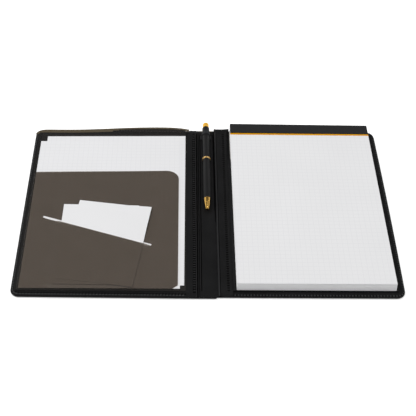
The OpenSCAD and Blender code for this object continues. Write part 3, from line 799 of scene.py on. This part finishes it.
bpy.ops.mesh.bevel(offset=0.0007, segments=4, affect="VERTICES")
bpy.ops.object.mode_set(mode="OBJECT")
card_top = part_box("right_card")[1].z
sheet_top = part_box("front_sheet")[1].z
# each card: its upper left corner and its turn
cards = (Vector((-0.1411, 0.0001, 0)), math.radians(-1)), (Vector((-0.1259, 0.0057, 0)), math.radians(-8.3))
card_w, card_h = 0.074, 0.105
# the right-hand card has sprung up a little along its outer side, above the slot, which makes it
# look narrower from above
curled_w, card_lift = 0.072, 0.0011
card_low, card_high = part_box("right_card")


def card_place(u, v):
    """The right-hand card, flat in the slot and lifted above it along its outer side."""
    corner, turn = cards[1]
    flat = corner + Matrix.Rotation(turn, 3, "Z") @ Vector((curled_w * u, -card_h * (1 - v), 0))
    above = ease(((flat - slot_middle).dot(up_slot) - 0.003) / 0.015)
    return flat.x, flat.y, card_high.z + card_lift * above * ease((u - 0.7) / 0.3)


right_card = grid_piece("right_note_card", 16, 20, card_place)
thicken(right_card, card_high.z - card_low.z)
done(right_card, "note_card_right", card_stock)
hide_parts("right_card")


def off_cards(place):
    """How far outside the two cards' outlines a place lies."""
    far = []
    for corner, turn in cards:
        at = Matrix.Rotation(-turn, 3, "Z") @ (place - corner)
        across = max(-at.x, at.x - card_w, 0)
        down = max(at.y, -card_h - at.y, 0)
        far.append(math.hypot(across, down))
    return min(far)


film_t, air, slack_h = 0.0003, 0.00012, 0.0003
beside_cards, weld_w, lip_drop = 0.0055, 0.0011, 0.0006
for v in front_film.data.vertices:
    flat = Vector((v.co.x, v.co.y, 0))
    t = (flat - slot_middle).dot(up_slot)
    # the film below the slot rides up over the cards, and comes down again beside them
    over_cards = ease(1 - (off_cards(flat) - 0.001) / beside_cards) if t < 0 else 0
    level = sheet_top + air + (card_top - sheet_top) * over_cards
    # its free upper part lies in slack waves, and its outer side and foot are welded down
    slack = slack_h * math.sin(v.co.x * 38 + 1) * math.sin(v.co.y * 24) * ease((v.co.y + 0.03) / 0.05)
    welded = ease(min(v.co.x - low.x, v.co.y - low.y) / weld_w)
    v.co.z = rear_top + (level + slack * (1 - over_cards) * 0.6 + air - rear_top) * welded
    # the slot gapes a little, its lower lip drawn down
    if abs((flat - slot_middle).dot(along_slot)) < slot_half - 0.0005:
        v.co -= up_slot * lip_drop * ease(1 + (t + slot_w / 2) / 0.006) * (t < -slot_w / 2 + 0.0009)
    v.co.y += foot_tuck(v.co.y)
    v.co.x += 0.0006 * ease((v.co.x + 0.05) / 0.015)
thicken(front_film, film_t, offset=1)
done(front_film, "left_cover", film)
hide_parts("front_film_pocket")

# ---------------------------------------------------------------- pad pocket
# The lining cloth on the right is doubled into a wide pocket that takes the pad's backing card.
# Its spine side is sewn down under the gutter liner.
backing = paper("grey_backing_card", ("A8A5A0", "B4B1AB"))
dress(backing, "pad_backing")

# ---------------------------------------------------------------- pages
# About eighty leaves of the same squared paper, glued at the head and trimmed together. The block
# is made of sections that lie a hair's breadth out of line, as leaves do after some use.
low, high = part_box("pad_pages")
# trimmed a millimetre or so narrower than its backing card
trim_left, trim_right = Vector((0.0005, 0, 0)), Vector((-0.001, 0, 0))
low, high = low + trim_left, high + trim_right
# the trimmed edges are painted lighter than the paper, as painted light on the block's front
page_edges_painted_light = paper("trimmed_page_edges_painted_lighter", ("F4F4F5", "FAFAFB"))
layers = 22
between_layers = 0.00001
foot_slant = 0.0013
leaf_shift = 0.00009
shifts = random.Random(5)
sections = []
for i in range(layers):
    z = low.z + (high.z - low.z) * i / layers
    block("pages", (low.x, low.y, z), (high.x, high.y, z + (high.z - low.z) / layers - between_layers))
    # the two upright corners at the foot are worn round
    pick("edges", lambda m, e: m.y < low.y + 1e-6 and abs(m.x - (low.x + high.x) / 2) > 0.07)
    bpy.ops.mesh.bevel(offset=0.0006, segments=2, affect="EDGES")
    section = leave_edit()
    out = Vector((shifts.uniform(-1, 1), shifts.uniform(-1, 1), 0)) * leaf_shift
    for v in section.data.vertices:
        v.co += out
        # the block is trimmed a little slanting at the foot
        if v.co.y < 0:
            v.co.y += foot_slant * i / layers
    sections.append(section)
for section in sections:
    section.select_set(True)
bpy.context.view_layer.objects.active = sections[0]
bpy.ops.object.join()
pages = bpy.context.object
pages.name = "page_block"
done(pages, "writing_pad", page_edges_painted_light)
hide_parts("pad_pages")
low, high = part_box("pad_top_page")
low, high = low + trim_left, high + trim_right
block("top_page", low + Vector((0, foot_slant, 0)), high)
top_page = leave_edit()
pad_paper = paper("pad_squared_paper", ("E2E2E3", "E7E7E8"), (low.x + margin_x, low.y + margin_y))
done(top_page, "writing_pad", pad_paper)
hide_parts("pad_top_page")

# ---------------------------------------------------------------- pad header
# Black coated board with a soft shine, folded over the pad's head and stapled through. A paper
# edge, printed flat in bright orange-yellow, shows as a stripe along its front.
header_board = new_material("black_coated_board")
mottle = grain(header_board, 0.004)
fine = grain(header_board, 0.0005, 2.0)
board_tone = node(header_board, "ShaderNodeMix", {0: mottle, 6: colour("1C1C1D"), 7: colour("222223")},
                  data_type="RGBA")[2]
bump = node(header_board, "ShaderNodeBump", {"Height": fine, "Distance": 0.00003, "Strength": 0.4})[0]
board_coat = node(header_board, "ShaderNodeBsdfPrincipled", {
    "Base Color": board_tone, "Roughness": 0.5, "Normal": bump, "Specular IOR Level": 0.2})[0]
node(header_board, "ShaderNodeOutputMaterial", {"Surface": board_coat})
low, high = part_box("pad_header")
# its front edge laps over part of the stripe, and it is folded round the pad's head edge
header_lap = Vector((0, 0.00115, 0))
head_fold = 0.0022
block("header_board", low + trim_left - header_lap, high + trim_right)
pick("faces", lambda m, f: f.normal.y < -0.9)
bpy.ops.mesh.delete(type="FACE")
pick("edges", lambda m, e: m.y > high.y - 1e-6 and m.z > low.z + 1e-4
     and abs(m.x - (low.x + high.x) / 2) < 1e-6)
bpy.ops.mesh.bevel(offset=0.0008, segments=5, affect="EDGES")
cut(1, high.y - head_fold)
pick("edges", lambda m, e: abs(m.y - high.y + head_fold) < 1e-6 and m.z > high.z - 1e-6)
bpy.ops.mesh.bevel(offset=0.0003, segments=2, affect="EDGES")
header = leave_edit(30)
for v in header.data.vertices:
    # its spine end stands up a little from the pages
    v.co.z += 0.0008 * ease((0.075 - v.co.x) / 0.06) * ease((v.co.z - low.z) / (high.z - low.z))
done(header, "writing_pad", header_board)
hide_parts("pad_header")

stripe_paper = new_material("orange_yellow_printed_paper")
ink = grain(stripe_paper, 0.003)
ink_colour = node(stripe_paper, "ShaderNodeMix", {0: ink, 6: colour("D99305"), 7: colour("E09C0B")},
                  data_type="RGBA")[2]
stripe_face = node(stripe_paper, "ShaderNodeBsdfPrincipled", {
    "Base Color": ink_colour, "Roughness": 0.5, "Specular IOR Level": 0.1})[0]
node(stripe_paper, "ShaderNodeOutputMaterial", {"Surface": stripe_face})
low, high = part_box("pad_stripe")
block("header_stripe", low + trim_left, high + trim_right)
pick("edges", lambda m, e: m.y < low.y + 1e-6 and m.z > high.z - 1e-6)
bpy.ops.mesh.bevel(offset=0.0002, segments=3, affect="EDGES")
stripe = leave_edit(30)
done(stripe, "writing_pad", stripe_paper)
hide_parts("pad_stripe")

# ---------------------------------------------------------------- pen loop
# Black woven elastic, 7 mm wide, wrapped round the pen's upper barrel, its ends sewn to the spine.
# Its ribs are matt, so it shows as a dark band on the shinier barrel.
elastic = new_material("black_woven_elastic")
ribs = weave(elastic, 0.0009)
bump = node(elastic, "ShaderNodeBump", {"Height": ribs, "Distance": 0.00015})[0]
elastic_face = node(elastic, "ShaderNodeBsdfPrincipled", {
    "Base Color": colour("202124"), "Roughness": 0.7, "Normal": bump, "Specular IOR Level": 0.25})[0]
node(elastic, "ShaderNodeOutputMaterial", {"Surface": elastic_face})
low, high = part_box("pen_loop")
pen_z = (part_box("pen_centre_ring")[0].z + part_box("pen_centre_ring")[1].z) / 2
band_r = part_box("pen_upper_barrel")[1].x + 0.00032
foot_z = low.z + 0.00045
band_t = 0.0004
# the band follows the barrel for this turn from its top, along this share of its length
wrap, wrap_share = math.radians(158), 0.78


def loop_place(u, v):
    """Left foot, round over the pen, right foot."""
    across = -1 if u < 0.5 else 1
    part = abs(u - 0.5) * 2
    y = low.y + (high.y - low.y - 0.001) * v
    if part < wrap_share:
        turn = part / wrap_share * wrap
        return across * band_r * math.sin(turn), y, pen_z + band_r * math.cos(turn)
    rest = (part - wrap_share) / (1 - wrap_share)
    start = Vector((band_r * math.sin(wrap), pen_z + band_r * math.cos(wrap)))
    end = Vector((spine_half - 0.0005, foot_z))
    at = start.lerp(end, rest)
    return across * at.x, y, foot_z + (start.y - foot_z) * (1 - ease(rest * 1.6))


band = grid_piece("pen_loop_band", 64, 6, loop_place)
thicken(band, band_t, offset=0, bevel=0.0001)
done(band, "spine", elastic)
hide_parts("pen_loop")

# ---------------------------------------------------------------- pen
# Click pen: black satin lacquer on brass tube, gold-coloured plated cone, ring and cap, and a
# moulded black plunger. The steel refill and its spring are inside.


def plating(name, base, smooth, rough):
    """Gold-coloured plating whose turning marks blur what it mirrors."""
    made = new_material(name)
    turning = grain(made, 0.003, 2.0)
    blur = node(made, "ShaderNodeMapRange", {"Value": turning, 1: 0.3, 2: 0.7, 3: smooth, 4: rough})[0]
    face = node(made, "ShaderNodeBsdfPrincipled", {
        "Base Color": colour(base), "Metallic": 1.0, "Roughness": blur})[0]
    node(made, "ShaderNodeOutputMaterial", {"Surface": face})
    return made


gold = plating("gold_coloured_plating", "EEBE66", 0.16, 0.24)
# the push cap is rubbed dull by the thumb, so it glows evenly
satin_gold = plating("thumbed_gold_plating", "FFCE58", 0.6, 0.7)
# above this height the ring is painted black like the lacquer, a painted dark reflection, which leaves a
# thin bright line of gold below
gold_line = 0.06595
ring_painted_dark = new_material("gold_ring_painted_dark_reflection")
ring_place = node(ring_painted_dark, "ShaderNodeTexCoord", {})["Object"]
up_ring = node(ring_painted_dark, "ShaderNodeSeparateXYZ", {0: ring_place})["Y"]
gold_below_line = node(ring_painted_dark, "ShaderNodeMath", {0: up_ring, 1: gold_line}, operation="LESS_THAN")[0]
ring_tint = node(ring_painted_dark, "ShaderNodeMix", {0: gold_below_line, 6: colour("101011"), 7: colour("C9A56A")},
                 data_type="RGBA")[2]
ring_blur = node(ring_painted_dark, "ShaderNodeMapRange", {"Value": gold_below_line, 3: 0.5, 4: 0.4})[0]
ring_painted_dark_face = node(ring_painted_dark, "ShaderNodeBsdfPrincipled", {
    "Base Color": ring_tint, "Metallic": gold_below_line, "Roughness": ring_blur, "Specular IOR Level": 0.22})[0]
node(ring_painted_dark, "ShaderNodeOutputMaterial", {"Surface": ring_painted_dark_face})
# sprayed lacquer spreads the light into one broad, faint streak along the barrel
lacquer = new_material("black_satin_lacquer")
orange_peel = grain(lacquer, 0.0015, 2.0)
bump = node(lacquer, "ShaderNodeBump", {"Height": orange_peel, "Distance": 0.00002, "Strength": 0.5})[0]
lacquer_face = node(lacquer, "ShaderNodeBsdfPrincipled", {
    "Base Color": colour("101011"), "Roughness": 0.5, "Normal": bump, "Specular IOR Level": 0.22})[0]
node(lacquer, "ShaderNodeOutputMaterial", {"Surface": lacquer_face})
# the plunger's moulded skin is glossier than the lacquer
plastic = new_material("moulded_black_abs")
moulded = grain(plastic, 0.001, 2.0)
bump = node(plastic, "ShaderNodeBump", {"Height": moulded, "Distance": 0.00002})[0]
plastic_face = node(plastic, "ShaderNodeBsdfPrincipled", {
    "Base Color": colour("161618"), "Roughness": 0.35, "Normal": bump})[0]
node(plastic, "ShaderNodeOutputMaterial", {"Surface": plastic_face})
# drawn steel is bright grey along its length
steel = new_material("drawn_steel")
drawn = grain(steel, 0.0006, 2.0)
steel_rough = node(steel, "ShaderNodeMapRange", {"Value": drawn, 1: 0.3, 2: 0.7, 3: 0.2, 4: 0.35})[0]
steel_face = node(steel, "ShaderNodeBsdfPrincipled", {
    "Base Color": colour("B9B9BC"), "Metallic": 1.0, "Roughness": steel_rough})[0]
node(steel, "ShaderNodeOutputMaterial", {"Surface": steel_face})
dress(gold, "pen_nose_cone")
dress(ring_painted_dark, "pen_centre_ring")
dress(satin_gold, "pen_push_cap")
dress(lacquer, "pen_lower_barrel", "pen_upper_barrel")
dress(plastic, "pen_plunger")
dress(steel, "pen_refill", "pad_staples")
# the spring stands on a step in the lower barrel and shortens as the refill comes down
low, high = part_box("pen_spring")
wire, turns = 0.0002, 8
bpy.ops.mesh.primitive_circle_add(vertices=8, radius=wire, location=(high.x - wire, 0, 0))
spring = bpy.context.object
spring.name = "pen_return_spring"
bpy.ops.object.transform_apply()
coil = spring.modifiers.new("coil", "SCREW")
coil.axis = "Y"
coil.angle = turns * math.tau
coil.screw_offset = high.y - low.y - 2 * wire
coil.steps = turns * 14
apply_modifiers(spring)
spring.location = (0, low.y + wire, (low.z + high.z) / 2)
bpy.ops.object.transform_apply()
bpy.ops.object.mode_set(mode="EDIT")
bpy.ops.mesh.select_all(action="SELECT")
bpy.ops.mesh.fill_holes(sides=0)
bpy.ops.mesh.select_all(action="SELECT")
bpy.ops.mesh.normals_make_consistent(inside=False)
leave_edit()
done(spring, "pen_cartridge", steel)
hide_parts("pen_spring")
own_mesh(spring)
